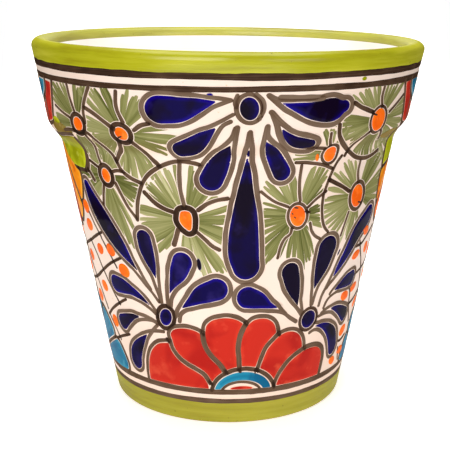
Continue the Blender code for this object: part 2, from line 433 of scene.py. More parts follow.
def patch(relief, outline, height=0.3, lift=FILL_LIFT, turn=0.0, tone=0.0, grid=1.1, soft=0.8):
    """A pool of glaze inside a closed outline: it rises from its edge to a rounded, level top.

    Inside the outline its points lie on a triangle grid, and none lies closer than clear to the outline.
    """
    clear, row_part = 0.4, 0.87
    outline = resample(np.asarray(outline, dtype=float)[:, :2], 0.8, closed=True)
    low, high = outline.min(0), outline.max(0)
    rows = np.arange(low[1], high[1], grid * row_part)
    inner = np.array([(x + (k % 2) * grid / 2, z) for k, z in enumerate(rows)
                      for x in np.arange(low[0], high[0], grid)])
    if len(inner):
        inner = inner[distance(inner, outline) > clear]
    points = np.vstack((outline, inner.reshape(-1, 2)))
    ring = [(k, (k + 1) % len(outline)) for k in range(len(outline))]
    spots, _, faces, *_ = delaunay_2d_cdt([Vector(p) for p in points], ring, [], 1, 1e-5)
    spots = np.array([tuple(p) for p in spots])
    faces = [tuple(f) for f in faces]
    corners = spots[np.array(faces)]
    cross = np.cross(corners[:, 1] - corners[:, 0], corners[:, 2] - corners[:, 0])
    faces = [f if c > 0 else f[::-1] for f, c in zip(faces, cross)]
    deep = np.maximum(distance(spots, outline), 0.0)
    lifts = lift + height * (1.0 - np.exp(-deep / soft))
    # The sides that only one face has, in the faces' order.
    once = {(u, v): True for f in faces for u, v in zip(f, f[1:] + f[:1])}
    border = [(u, v) for u, v in once if (v, u) not in once]
    n = len(spots)
    solid = faces + [tuple(k + n for k in f[::-1]) for f in faces]
    solid += [(v, u, u + n, v + n) for u, v in border]
    x, z = np.tile(spots[:, 0], 2), np.tile(spots[:, 1], 2)
    lifts = np.concatenate((lifts, np.full(n, UNDER)))
    seed = relief.count % 997
    brush = np.stack((x, z, np.full(2 * n, seed * TEXTURE_SHIFT)), axis=1)
    relief.add(on_wall(x, z, lifts, turn), solid, brush, np.full(2 * n, tone), np.tile(deep, 2))


# ------------------------------------------------------------------ materials

class Surface:
    """A node material under construction: each method adds a node and returns its output."""

    def __init__(self, name, roughness, coat=0.0, specular=0.2, coat_roughness=0.06, coat_ior=1.45):
        self.material = bpy.data.materials.new(name)
        self.material.use_nodes = True
        self.tree = self.material.node_tree
        self.shader = self.tree.nodes["Principled BSDF"]
        for socket, value in (
                ("Roughness", roughness), ("Specular IOR Level", specular), ("Coat Weight", coat),
                ("Coat Roughness", coat_roughness), ("Coat IOR", coat_ior)):
            self.shader.inputs[socket].default_value = value

    def node(self, kind, inputs=(), **settings):
        made = self.tree.nodes.new(kind)
        for key, value in settings.items():
            setattr(made, key, value)
        for socket, value in inputs:
            self.feed(made.inputs[socket], value)
        return made

    def feed(self, socket, value):
        if isinstance(value, bpy.types.NodeSocket):
            self.tree.links.new(value, socket)
        else:
            socket.default_value = value

    def attribute(self, name, output="Fac"):
        return self.node("ShaderNodeAttribute", attribute_name=name).outputs[output]

    def place(self, stretch=(1.0, 1.0, 1.0), source=None):
        """Object coordinates in metres, or the given vector, scaled."""
        source = source or self.node("ShaderNodeTexCoord").outputs["Object"]
        return self.node("ShaderNodeVectorMath", ((0, source), (1, stretch)), operation="MULTIPLY").outputs[0]

    def noise(self, scale, detail=2.0, roughness=0.5, vector=None, distortion=0.0):
        vector = vector or self.place()
        made = self.node("ShaderNodeTexNoise", (("Vector", vector), ("Scale", scale), ("Detail", detail),
                                                ("Roughness", roughness), ("Distortion", distortion)))
        return made.outputs["Fac"]

    def ramp(self, factor, *stops):
        """stops are (position, colour)."""
        made = self.node("ShaderNodeValToRGB", (("Fac", factor),))
        elements = made.color_ramp.elements
        for element, (position, colour) in ((elements[0], stops[0]), (elements[1], stops[-1])):
            element.position, element.color = position, (*colour, 1.0)
        for position, colour in stops[1:-1]:
            elements.new(position).color = (*colour, 1.0)
        return made.outputs["Color"]

    def level(self, value, low, high, to_low=0.0, to_high=1.0):
        return self.node("ShaderNodeMapRange", (("Value", value), ("From Min", low), ("From Max", high),
                                                ("To Min", to_low), ("To Max", to_high))).outputs["Result"]

    def math(self, operation, a, b=0.0):
        return self.node("ShaderNodeMath", ((0, a), (1, b)), operation=operation).outputs[0]

    def add(self, a, b):
        return self.math("ADD", a, b)

    def times(self, a, b):
        return self.math("MULTIPLY", a, b)

    def swing(self, field, amount):
        """How far a noise is from its middle, scaled."""
        return self.times(self.math("SUBTRACT", field, 0.5), amount)

    def above_base(self):
        """Height in metres."""
        return self.node("ShaderNodeSeparateXYZ", (("Vector", self.place()),)).outputs["Z"]

    def step_shade(self, amount):
        """How much painted shade darkens the collar's slanting underside, which faces down and gets less
        light.
        """
        z = self.above_base()
        low = self.level(z, *STEP_SHADE_BAND[:2])
        high = self.level(z, *STEP_SHADE_BAND[2:], 1.0, 0.0)
        return self.times(self.times(low, high), amount)

    def mix(self, factor, a, b):
        made = self.node("ShaderNodeMix", data_type="RGBA")
        self.feed(made.inputs[0], factor)
        for index, value in ((6, a), (7, b)):
            self.feed(made.inputs[index], value if isinstance(value, bpy.types.NodeSocket) else (*value, 1.0))
        return made.outputs[2]

    def finish(self, colour, height=None, strength=0.3, depth=0.0002):
        self.feed(self.shader.inputs["Base Color"], colour)
        if height is not None:
            bump = self.node("ShaderNodeBump", (("Height", height), ("Strength", strength),
                                                ("Distance", depth))).outputs["Normal"]
            self.feed(self.shader.inputs["Normal"], bump)
            self.feed(self.shader.inputs["Coat Normal"], bump)
        return self.material


def srgb(*values):
    """A linear colour from 8-bit display values."""
    return tuple((v / 255 / 12.92) if v <= 10 else ((v / 255 + 0.055) / 1.055) ** 2.4 for v in values)


def cream_glaze():
    s = Surface("cream_tin_glaze", 0.3, coat=0.2, specular=0.0)
    cloud = s.noise(14.0, 3.0)
    speck = s.noise(420.0, 2.0, 0.6)
    colour = s.mix(s.level(cloud, 0.35, 0.7), srgb(242, 225, 216), srgb(237, 216, 203))
    # Painted shade: the cream goes darker and pinker towards the foot, where less light reaches.
    low = s.level(s.above_base(), 0.015, 0.12, 0.6, 0.0)
    colour = s.mix(low, colour, srgb(236, 208, 190))
    colour = s.mix(s.level(speck, 0.7, 0.78), colour, srgb(228, 200, 172))
    # Painted shade: the cream goes darker and pinker on the step's downward-facing underside.
    colour = s.mix(s.step_shade(0.3), colour, srgb(222, 190, 158))
    ripple = s.add(s.noise(60.0, 2.0), s.times(speck, 0.25))
    return s.finish(colour, ripple, 0.25, 0.0006)


def lining_glaze():
    s = Surface("white_lining_glaze", 0.25, coat=0.1)
    colour = s.mix(s.level(s.noise(11.0, 3.0), 0.35, 0.7), srgb(255, 252, 246), srgb(250, 241, 231))
    return s.finish(colour, s.noise(45.0, 2.0), 0.25, 0.0008)


def lime_glaze(name, shade):
    """Streaky lime glaze; shade, from 0 to 1, darkens it as painted shade, and the tone attribute makes it
    paler, for thinner glaze and a painted highlight on the crest's inner side.
    """
    s = Surface(name, 0.2, coat=0.22, specular=0.0, coat_roughness=0.24, coat_ior=2.4)
    streak = s.noise(16.0, 4.0, 0.6, s.place((1.0, 1.0, 14.0)))
    blot = s.noise(9.0, 3.0, 0.55, s.place((1.0, 1.0, 2.5)))
    tone = s.add(s.times(streak, 0.6), s.times(blot, 0.5))
    colour = s.ramp(s.level(tone, 0.4, 0.72), (0.0, srgb(146, 142, 10)), (0.45, srgb(170, 172, 20)),
                    (1.0, srgb(192, 192, 48)))
    # Painted shade: the foot's copy of the lime is made darker, as less light reaches the foot.
    colour = s.mix(shade, colour, srgb(128, 112, 8))
    # Paler where the tone attribute is high: thinner glaze on the rim's inner face and a painted highlight
    # along its crest.
    colour = s.mix(s.times(s.attribute("tone"), 0.22), colour, srgb(242, 238, 176))
    pin = s.noise(300.0, 1.0)
    colour = s.mix(s.level(pin, 0.74, 0.8), colour, srgb(120, 112, 10))
    return s.finish(colour, s.add(streak, s.noise(50.0, 2.0)), 0.3, 0.0007)


def brown_line():
    s = Surface("manganese_line", 0.45, coat=0.06, specular=0.0, coat_roughness=0.25)
    grain = s.noise(1.0, 3.0, 0.6, s.place((0.05, 1.3, 1.0), s.attribute("brush", "Vector")))
    dark = s.add(s.attribute("tone"), s.swing(grain, 0.7))
    amount = s.add(dark, s.swing(s.noise(70.0, 2.0), 0.5))
    colour = s.ramp(amount, (0.0, srgb(119, 101, 86)), (0.4, srgb(95, 75, 60)), (0.75, srgb(64, 46, 35)),
                    (1.0, srgb(39, 28, 22)))
    return s.finish(colour, grain, 0.2, 0.0002)


def pooled_glaze(name, edge, middle, deep, light, gloss=0.12, size=30.0, halo=None, coat=0.18,
                 step_shade_colour=None):
    """Thick glossy glaze that pools: a thin bright edge, a fuller middle, dark pools, lighter washes that are
    partly a painted sheen, and painted shade on the step's underside.
    """
    s = Surface(name, gloss, coat=coat, specular=0.0)
    own = s.place((0.0, 0.0, 0.013), s.attribute("brush", "Vector"))
    shift = s.node("ShaderNodeVectorMath", ((0, s.place()), (1, own)), operation="ADD").outputs[0]
    pool = s.noise(size, 2.5, 0.5, shift, 0.6)
    wash_and_sheen = s.noise(size * 1.9, 3.0, 0.6, shift)
    depth = s.attribute("edge")
    colour = s.mix(s.level(depth, 0.3, 3.0), edge, middle)
    colour = s.mix(s.level(pool, 0.47, 0.6), colour, deep)
    # Lighter washes: partly the glaze lying thinner, partly a painted sheen, room reflections painted into
    # the colour.
    colour = s.mix(s.times(s.level(wash_and_sheen, 0.56, 0.72), 0.55), colour, light)
    if halo is not None:
        colour = s.mix(s.level(depth, 0.05, 0.35), halo, colour)
    colour = s.mix(s.attribute("tone"), colour, deep)
    # Painted shade on the collar's downward-facing underside: the glaze goes to its darker colour there.
    colour = s.mix(s.step_shade(0.75), colour, step_shade_colour or deep)
    return s.finish(colour, s.noise(130.0, 2.0), 0.12, 0.0004)


def green_wash():
    s = Surface("olive_brush_wash", 0.35, coat=0.12, specular=0.0)
    brush = s.attribute("brush", "Vector")
    streak = s.noise(1.0, 3.0, 0.6, s.place((0.03, 0.9, 1.0), brush))
    fine = s.noise(1.0, 2.0, 0.6, s.place((0.06, 2.6, 1.0), brush))
    tone = s.add(s.add(s.attribute("tone"), s.swing(streak, 0.9)), s.swing(fine, 0.35))
    colour = s.ramp(tone, (0.0, srgb(86, 90, 44)), (0.35, srgb(126, 128, 77)), (0.7, srgb(154, 154, 105)),
                    (1.0, srgb(190, 187, 144)))
    # Painted shade under the step: the olive strokes go darker on the collar's downward-facing underside.
    colour = s.mix(s.step_shade(0.5), colour, srgb(100, 92, 40))
    return s.finish(colour, streak, 0.1, 0.0002)


def bare_clay():
    s = Surface("bare_terracotta", 0.85, specular=0.2)
    grain = s.noise(900.0, 3.0, 0.7)
    cloud = s.noise(25.0, 3.0)
    colour = s.mix(s.level(cloud, 0.3, 0.7), srgb(196, 124, 88), srgb(170, 98, 66))
    colour = s.mix(s.level(grain, 0.62, 0.75), colour, srgb(222, 170, 135))
    return s.finish(colour, grain, 0.5, 0.0004)


def studio_floor():
    s = Surface("pale_studio_floor", 0.7, specular=0.1)
    s.shader.inputs["Emission Color"].default_value = (1.0, 1.0, 1.0, 1.0)
    s.shader.inputs["Emission Strength"].default_value = 0.56
    return s.finish(s.mix(s.noise(3.0, 2.0), srgb(250, 249, 247), srgb(246, 245, 243)))


# ------------------------------------------------------------------ turned skins

def turned(name, outline, surface, slot, nodes, ragged=None, step=STEP_LEAN, tone=None):
    """A closed turned shell from a closed loop of (radius, height) in millimetres, leaning as the pot does.

    ragged maps a point's index to how far its height wanders round the pot; tone is what the material reads
    at each point of the outline.
    """
    outline = np.asarray(outline, dtype=float)
    angle = np.linspace(0.0, 2 * math.pi, ROUND_STEPS, endpoint=False)[:, None]
    r, z = outline[:, 0][None, :], outline[:, 1][None, :] + 0.0 * angle
    if ragged:
        around = np.abs(math.pi - angle[:, 0]) * MEAN_RADIUS
        waves = wavy(around, 5.0 + len(name), 9.0, 1.0) - 1.0
        for index, amount in ragged.items():
            z[:, index] += waves * amount
    r = r + out_of_round(angle, z)
    z = z + lean(angle, z, step)
    places = np.stack((r * np.sin(angle), -r * np.cos(angle), z), axis=-1).reshape(-1, 3) * MM
    wide = len(outline)
    faces = []
    for i in range(ROUND_STEPS):
        j = (i + 1) % ROUND_STEPS
        for k in range(wide):
            m = (k + 1) % wide
            faces.append((i * wide + k, i * wide + m, j * wide + m, j * wide + k))
    relief = Relief()
    count = len(places)
    tone = np.zeros(count) if tone is None else np.tile(tone, ROUND_STEPS)
    relief.add(places, faces, np.zeros((count, 3)), tone, np.ones(count))
    return relief.make(name, surface, slot, *nodes)


def heights(low, high, spacing):
    """Evenly spaced heights from low to high, about spacing apart."""
    return np.linspace(low, high, max(2, int(round((high - low) / spacing)) + 1))


def wall_skin():
    """The cream ground, from under the foot's lime to under the rim's, over the step."""
    z = np.concatenate((heights(15.0, STEP_LOW - 3, 6.0), heights(STEP_LOW - 2, STEP_HIGH + 2, 0.75),
                        heights(STEP_HIGH + 3, 253.0, 5.0)))
    outer = [(outer_radius(v), v) for v in z]
    back = [(outer_radius(v) - COAT, v) for v in z[::4][::-1]]
    turned("cream_ground", outer + back, CREAM, "cream_glaze",
           ("ground_glaze", "rim_cream_band", "foot_cream_band"))


def rim_skin():
    """The lime glaze: up the collar's last centimetre, over the lip and a little way down inside."""
    lift = 0.22
    middle = outer_radius(LIP_SHOULDER) + lift - LIP_WIDTH / 2
    crown = HEIGHT - LIP_SHOULDER
    outer = [(outer_radius(v) + lift * min(1.0, (v - RIM_LIME_LOW) / 0.8 + 0.1), v)
             for v in (RIM_LIME_LOW, RIM_LIME_LOW + 0.3, RIM_LIME_LOW + 0.9, 253.0, 255.0)]
    over = np.linspace(0.0, math.pi, 25)
    lip = [(middle + LIP_WIDTH / 2 * math.cos(a), LIP_SHOULDER + crown * math.sin(a) ** 0.9) for a in over]
    inner = [(inner_radius(RIM_LIME_INSIDE) + 0.9, RIM_LIME_INSIDE)]
    back = [(inner_radius(RIM_LIME_INSIDE) + 1.8, RIM_LIME_INSIDE + 0.2), (middle - 3.0, HEIGHT - 2.2),
            (middle, HEIGHT - 1.5), (middle + 3.5, HEIGHT - 2.4), (outer_radius(254.0) - 0.6, 254.0),
            (outer_radius(RIM_LIME_LOW) - 0.5, RIM_LIME_LOW)]
    # Paler towards and down the inner side of the crest: thinner glaze there, and a painted highlight along
    # the crest.
    thin = [0.0] * len(outer) + [max(0.0, -math.cos(a)) for a in over] + [1.0] * 3 + [0.0] * 4
    ragged = {0: 0.3, 1: 0.3, 2: 0.2, len(thin) - 1: 0.3}
    turned("lime_rim", outer + lip + inner + back, LIME, "lime_glaze", ("rim_glaze",), ragged, tone=thin)


def foot_skin():
    """The lime glaze round the foot, rolled under at the bottom and feathered at its top edge."""
    lift = 0.2
    top = FOOT_LIME_TOP
    z = (0.8, 1.1, 1.6, 2.3, 3.2, 6.0, 10.0, 14.0, top - 0.9, top - 0.3, top)
    outer = [(outer_radius(v) + lift * min(1.0, (top - v) / 0.8 + 0.1), v) for v in z]
    back = [(outer_radius(v) - 0.5, v) for v in (top, 10.0, 3.0, 0.9)]
    ragged = {8: 0.4, 9: 0.5, 10: 0.5, 11: 0.5}
    turned("lime_foot", outer + back, SHADED_LIME_FOOT, "lime_glaze", ("foot_glaze",), ragged)


def lining_skin():
    """The white lining: down the inside from under the lime, round the corner and over the floor."""
    wall = [(inner_radius(v), v) for v in (
        RIM_LIME_INSIDE + 1.5, INNER_STEP_HIGH + 2, INNER_STEP_HIGH, INNER_STEP_HIGH - 1.5, INNER_STEP_LOW,
        INNER_STEP_LOW - 4, FLOOR_TOP + 12)]
    corner = 10.0
    foot = inner_radius(FLOOR_TOP) - corner
    bend = [(foot + corner * math.cos(a), FLOOR_TOP + corner + corner * math.sin(a))
            for a in np.linspace(-0.15, -math.pi / 2, 8)]
    floor = [(r, FLOOR_TOP) for r in (foot - 8, 50.0, 35.0, 22.0, DRAIN_RADIUS + 2.2)]
    lip = [(DRAIN_RADIUS + 1.3, FLOOR_TOP - 0.3), (DRAIN_RADIUS + 1.0, FLOOR_TOP - 0.7)]
    inside = wall + bend + floor + lip
    outside = [(r + 0.5, v - 0.4) for r, v in inside[::-1][2::3]] + [(wall[0][0] + 0.6, wall[0][1])]
    turned("white_lining", (inside + outside)[::-1], LINING, "cream_glaze", ("inner_glaze",), step=0.0)


def clay_skins():
    """The collar strap's and the lip's bare clay, a coat's depth under the glaze and leaning with it."""
    coat = COAT + 0.3
    half = LIP_WIDTH / 2 - coat
    middle = outer_radius(LIP_SHOULDER) - LIP_WIDTH / 2
    crown = HEIGHT - LIP_SHOULDER - coat
    lip = [(middle + half * math.cos(a), LIP_SHOULDER + crown * math.sin(a))
           for a in np.linspace(0, math.pi, 17)]
    start, end = outer_radius(LIP_SEAT) - coat, inner_radius(LIP_SEAT) + coat + 0.5
    turned("clay_lip", [(start, LIP_SEAT)] + lip + [(end, LIP_SEAT)], CLAY, "terracotta", ("lip_roll",))
    strap, low, bend, top = 4.5, 198.5, 213.0, 246.0
    face = [(outer_radius(v) - coat, v) for v in (*heights(low, bend, 1.5), top)]
    back = [(outer_radius(top) - strap, top), (outer_radius(bend) - strap, bend), (face[0][0] - 0.4, low)]
    turned("clay_collar", face + back, CLAY, "terracotta", ("collar_strap",))


def band_lines():
    """Two brown lines under the rim and two over the foot, each one turn of the wheel with a lapped end."""
    for row, (name, (level, width, start, tone)) in enumerate(BANDS.items()):
        relief = Relief()
        x = np.linspace(start, start + ROUND + 9.0, 120)
        drift = np.array([0.35 * noise.noise((v / 60.0, row * 3.3, 0.0)) for v in x])
        swing = lean(x / MEAN_RADIUS, level)
        widths = width * wavy(x, row * 5.1 + 2, 30.0, 0.12)
        route = np.column_stack((x, level + drift + swing, widths))
        stroke(relief, route, lift=0.05, height=0.2, tone=tone, ragged=0.05)
        relief.make("painted_" + name, BROWN, "brown_glaze", name)


# ------------------------------------------------------------------ the painted motifs

class Panel:
    """One side of the pot: a relief for each colour, all turned to that side."""

    def __init__(self, name, turn):
        self.name, self.turn = name, turn
        self.reliefs = {}

    def relief(self, colour):
        return self.reliefs.setdefault(colour, Relief())

    def line(self, *points, width=LINE, tone=0.25, closed=False, halo=True, ragged=0.1):
        """A brown brush line on a slightly wider line of bare cream."""
        points = np.asarray(points, dtype=float)
        wider = points.copy()
        if points.shape[1] == 3:
            wider[:, 2] += 2 * HALO
        if halo:
            stroke(self.relief("halo"), wider, width + 2 * HALO, HALO_LIFT, 0.03, self.turn, closed=closed,
                   ragged=ragged)
        stroke(self.relief("line"), points, width, LINE_LIFT, 0.16, self.turn, tone, closed, ragged)

    def edge(self, *points, width=2.8, tone=0.4, ragged=0.1):
        """A brown line with no bare cream beside it, as between two cells."""
        self.line(*points, width=width, tone=tone, halo=False, ragged=ragged)

    def fill(self, colour, outline, height=0.32, tone=0.0):
        patch(self.relief(colour), outline, height, FILL_LIFT, self.turn, tone)

    def bare(self, outline):
        """Bare cream that covers the brush strokes under it."""
        patch(self.relief("halo"), outline, 0.03, HALO_LIFT, self.turn, grid=2.5)

    def drop(self, stations, left_tail, right_tail, width=LINE, depth=0.0, tone=0.15):
        """A cobalt drop on bare cream, outlined in brown from one tail, round the head and out by the other.

        Left and right are as seen from the tip towards the head, and each tail runs away from the drop. depth
        is how thick the cobalt lies, from 0 to 1 for nearly black.
        """
        grow = EDGE_GAP + width / 2
        self.bare(swept(stations, grow + width / 2 + HALO))
        self.fill("cobalt", swept(stations), tone=depth)
        left, head, right, _ = flanks(stations, grow, 3.2)
        route = np.vstack((left_tail[::-1], left[1:], head, right[:0:-1], right_tail))
        self.line(*route, width=width, tone=tone, ragged=0.12)

    def bud(self, x, z, rx, rz, tilt=0.0, width=LINE, colour="cobalt", tone=0.5, gap=EDGE_GAP):
        """An oval of colour in a thick brown ring."""
        grow = gap + width / 2
        self.bare(ellipse(x, z, rx + grow + width / 2, rz + grow + width / 2, tilt))
        self.fill(colour, ellipse(x, z, rx, rz, tilt))
        ring = ellipse(x, z, rx + grow, rz + grow, tilt, spacing=2.0)
        self.line(*ring, width=width, tone=tone, closed=True)

    def leaves(self, x, z, radius, *lobes):
        """Fans of olive brush strokes round a flower's heart.

        Each lobe is (first angle, last angle, count, reaches) with its reaches spread from first to last.
        """
        for first, last, count, *reaches in lobes:
            for k in range(count):
                part = (k + 0.5) / count
                angle = math.radians(first + (last - first) * part)
                # Each stroke reads the noise at a place of its own; neighbours share a slow change in tone.
                seed = (x * 1.7 + z * 0.9 + first + k * 5.3, z * 0.31, k * 1.9)
                reach = np.interp(part * (len(reaches) - 1), range(len(reaches)), reaches)
                reach *= 1.02 + 0.24 * noise.noise(seed)
                if math.sin(angle) > 0.0:
                    reach = min(reach, (LEAF_TOP - z) / math.sin(angle))
                spacing = abs(math.radians(last - first)) / count
                bend = 0.12 * noise.noise((seed[1], seed[0], 4.0)) + (0.5 - part) * 0.1
                route = []
                for t, full in LEAF_PROFILE:
                    a = angle + bend * t * (1.0 if last > first else -1.0)
                    r = radius + (reach - radius) * t
                    width = min(LEAF_WIDEST, spacing * r + 0.2) * full
                    route.append((x + r * math.cos(a), z + r * math.sin(a), width))
                dark = noise.noise((x * 0.07 + math.cos(angle) * 1.3, z * 0.07 + math.sin(angle) * 1.3, 2.0))
                tone = 0.42 + 0.4 * noise.noise((seed[0] * 0.6, seed[1], seed[2])) + 0.55 * dark
                stroke(self.relief("green"), route, lift=GREEN_LIFT + 0.006 * (k % 3), height=0.03,
                       turn=self.turn, tone=(tone - 0.16, tone, tone + 0.08), ragged=0.16)

    def cell(self, colour, outline, margin=EDGE_GAP + LINE / 2, height=0.3, tone=0.0):
        """Glaze filling the space inside brown lines whose middles are the outline."""
        self.fill(colour, inset(np.asarray(outline), margin), height, tone)

    def make(self):
        self.relief("line").darken_laps()
        for colour, relief in self.reliefs.items():
            surface, slot = PAINTS[colour]
            relief.make(f"{self.name}_{colour}", surface, slot)


def petal(*stretches):
    """A closed outline from stretches of points, each smoothed on its own, with corners where they meet."""
    return np.vstack([smooth(s, 0.8)[:-1] for s in stretches])


def flower_leaves(p):
    """The brush-stroke leaves of the eight olive flowers."""
    p.leaves(-95.5, 213.5, 5, (101, 157, 8, 27, 31, 34, 28), (90, 61, 5, 27, 27, 29),
             (166, 204, 5, 25, 24, 19), (-119, -50, 10, 24, 26, 24, 20))
    p.leaves(-61, 211, 5, (96, 147, 9, 28, 31, 36, 32), (86, 38, 7, 28, 29, 28, 24),
             (27, -36, 9, 20, 34, 31, 27, 23), (-48, -122, 11, 21, 31, 34, 29, 20),
             (158, 237, 11, 26, 26, 25, 23, 21))
    p.leaves(-85, 179, 6, (104, 144, 6, 26, 18), (94, 26, 10, 29, 27, 21, 15), (8, -48, 9, 22, 25, 27, 27),
             (-57, -111, 10, 30, 46, 49, 38, 22), (155, 246, 11, 18, 22, 25, 20, 20), (178, 192, 3, 32, 34))
    p.leaves(-27.5, 154, 7, (95, 149, 11, 36, 38, 37, 32, 28), (86, 34, 9, 37, 36, 31, 23),
             (26, -38, 10, 31, 27, 26, 26, 30), (-48, -106, 11, 42, 43, 38, 28, 20),
             (160, 240, 13, 32, 35, 35, 34, 26))
    p.leaves(46, 156, 8, (95, 142, 10, 24, 27, 32, 30), (86, 42, 9, 34, 35, 32, 22),
             (27, -36, 9, 18, 17, 17, 22), (-46, -108, 14, 27, 36, 40, 31, 30),
             (152, 252, 17, 26, 25, 28, 36, 34))
    p.leaves(63.5, 196, 5, (98, 128, 4, 18, 18), (158, 196, 5, 24, 25, 22), (84, 60, 3, 18, 17))
    p.leaves(94.5, 216, 8, (150, 96, 9, 31, 28, 24, 22), (87, 40, 7, 22, 25, 30),
             (30, -22, 8, 30, 33, 33, 30), (165, 228, 10, 28, 31, 30, 24, 20), (-122, -62, 10, 26, 26, 28),
             (-60, -26, 9, 36, 44, 40))
    p.leaves(97.5, 163, 8, (100, 150, 10, 24, 27, 33, 32), (84, 34, 10, 28, 38, 38),
             (28, -34, 10, 35, 36, 34, 28), (156, 240, 14, 31, 34, 34, 32, 26), (246, 292, 7, 31, 30, 27, 24))


def flower_ribs(p):
    """The brown ribs between the leaves: each row is a line's width, its tone and its route."""
    for width, tone, *route in (
            (2.4, 0.45, (-99, 239), (-98.5, 230), (-96.5, 221.5)),
            (2.2, 0.4, (-119, 222.5), (-112, 219.5), (-103, 216.5)),
            (2.6, 0.4, (-80, 238.5), (-84.5, 231), (-87.5, 224), (-88, 215)),
            (2.7, 0.5, (-113, 206.5), (-106, 208), (-97, 207.5), (-88, 208), (-82, 203), (-76.5, 196.5),
             (-73, 189.5)),
            (2.4, 0.4, (-90, 206), (-87.5, 200), (-89.5, 193), (-88, 187)),
            (2.6, 0.35, (-61, 237.5), (-62, 231), (-61.5, 225), (-59, 218)),
            (3.1, 0.4, (-86, 225), (-79, 221.5), (-72, 217), (-66, 213)),
            (2.8, 0.4, (-52.5, 213.5), (-48, 217), (-43, 218.5)),
            (2.9, 0.4, (-64, 205.5), (-66, 199), (-70, 194.5), (-73, 190)),
            (3.0, 0.45, (-55.5, 205.5), (-50, 199.5), (-46, 194), (-42, 189.8)),
            (3.0, 0.4, (-73, 190), (-70, 184.5), (-64, 180), (-56, 177)),
            (2.9, 0.45, (-16, 191.8), (-20, 193), (-28, 194), (-36, 192.2), (-45, 187.5), (-52, 181.5),
             (-57, 173.5), (-60.5, 164), (-63, 151)),
            (2.4, 0.5, (-92, 184), (-99, 187)),
            (2.4, 0.4, (-79, 182), (-74, 183.5), (-68.5, 183.2)),
            (2.5, 0.4, (-88.5, 172), (-91, 165), (-93, 157.5)),
            (2.6, 0.35, (-77, 174.5), (-73, 166), (-69, 158.5), (-63.5, 152)),
            (2.8, 0.2, (-29, 194), (-29.7, 185), (-29.6, 175), (-28, 163)),
            (3.2, 0.55, (-54.5, 171), (-49, 165.5), (-43, 161.5), (-36, 159.3)),
            (2.9, 0.4, (-19, 161.5), (-13, 166), (-7, 168.6), (-0.5, 169.8)),
            (3.6, 0.4, (-33, 147), (-35, 141.5), (-37, 136.5)),
            (2.8, 0.45, (-20.5, 146), (-15, 141), (-10.5, 136.7), (-6, 134.3)),
            (2.2, 0.25, (46.5, 166), (45, 175), (44.6, 183), (45, 190)),
            (2.0, 0.3, (38.5, 162.5), (30, 166.3), (25, 169.8), (20, 174)),
            (2.2, 0.35, (53, 161), (58, 165.5), (65.5, 170.5)),
            (2.2, 0.3, (42.5, 147.5), (42, 143.5), (38, 140), (35.5, 134), (34.3, 127)),
            (2.2, 0.3, (56, 149.5), (58, 144), (61.5, 139.7), (66, 137)),
            (2.4, 0.45, (41, 192.3), (50, 191.3), (60, 189), (67.5, 185.8)),
            (2.0, 0.35, (58.5, 211), (59, 206.5), (61, 202.5)),
            (2.4, 0.45, (44, 202.8), (52, 201.5), (58, 200.5)),
            (2.8, 0.5, (63.3, 216), (64.3, 209.5), (67.5, 205), (73.5, 200), (80.5, 195), (87.5, 190.8),
             (97, 189), (105, 189.8), (113, 192)),
            (2.3, 0.45, (74, 193.5), (70.5, 189), (67.5, 182.5), (65.3, 175), (63.8, 166.5), (64.2, 158),
             (66, 150.5), (69, 144.5), (72.5, 141)),
            (2.9, 0.55, (71.5, 229.3), (78, 225.7), (87, 222)),
            (2.3, 0.3, (94, 237.5), (93.5, 231), (95.5, 224.5)),
            (2.3, 0.45, (105, 220), (112, 224.5), (120, 229.5)),
            (2.5, 0.5, (89, 208.5), (84, 204.5), (80, 200.5), (76.5, 193.5)),
            (2.0, 0.4, (101, 207.5), (105.5, 201.5)),
            (2.9, 0.6, (66.5, 178.3), (73, 175), (80, 171.3), (87, 167.5)),
            (2.4, 0.2, (93, 187.5), (92.7, 180), (95.5, 172)),
            (2.2, 0.25, (90.5, 152), (88.5, 144), (86.5, 136))):
        p.line(*route, width=width, tone=tone)


def flower_hearts(p):
    """The flowers' orange hearts in brown rings, with specks on them; one is pointed at its foot."""
    for x, z, rx, rz, tilt, width, tone in (
            (-95.3, 213, 4.3, 4.7, 0, 3.2, 0.7), (-61.3, 210.5, 4.7, 3.8, -35, 3.3, 0.65),
            (-84.8, 178.8, 3.9, 4.9, 12, 3.6, 0.7), (46, 155.6, 5.5, 7.5, 18, 2.2, 0.4),
            (63.8, 196, 4.5, 5.3, 10, 2.0, 0.5), (94.8, 216, 6.3, 7.6, 8, 2.0, 0.5),
            (97.3, 162.6, 6.4, 8.5, 22, 2.9, 0.45)):
        p.bud(x, z, rx, rz, tilt, width, "orange", tone)
    p.fill("orange", ellipse(55, 194.5, 1.2, 2.6, 8), 0.2)
    for start, end, width in (
            ((43.4, 161.6), (45.2, 161.2), 1.1), ((41.6, 158), (42.2, 157.2), 0.8),
            ((43.6, 155), (44.4, 154.4), 0.9), ((51.5, 158.2), (54.5, 157.4), 1.8),
            ((87.5, 221), (91.6, 219.4), 1.2), ((99.6, 157.8), (103.6, 156.6), 1.2),
            ((-63.4, 207.8), (-61.6, 208.6), 1.2)):
        stroke(p.relief("line"), (start, end), width, 0.4, 0.12, p.turn, 0.5)
    heart = petal(((-31.6, 157), (-30.6, 159.8), (-27.5, 160.6), (-24.4, 159.6), (-23.3, 156.5)),
                  ((-23.3, 156.5), (-23.6, 151), (-24.4, 147.4), (-26, 146.9)),
                  ((-26, 146.9), (-29.5, 149.6), (-31.8, 153.5), (-31.6, 157)))
    p.bare(inset(heart, -4.0))
    p.fill("orange", heart)
    p.line(*inset(heart, -2.3)[::3], width=3.9, tone=0.85, closed=True)


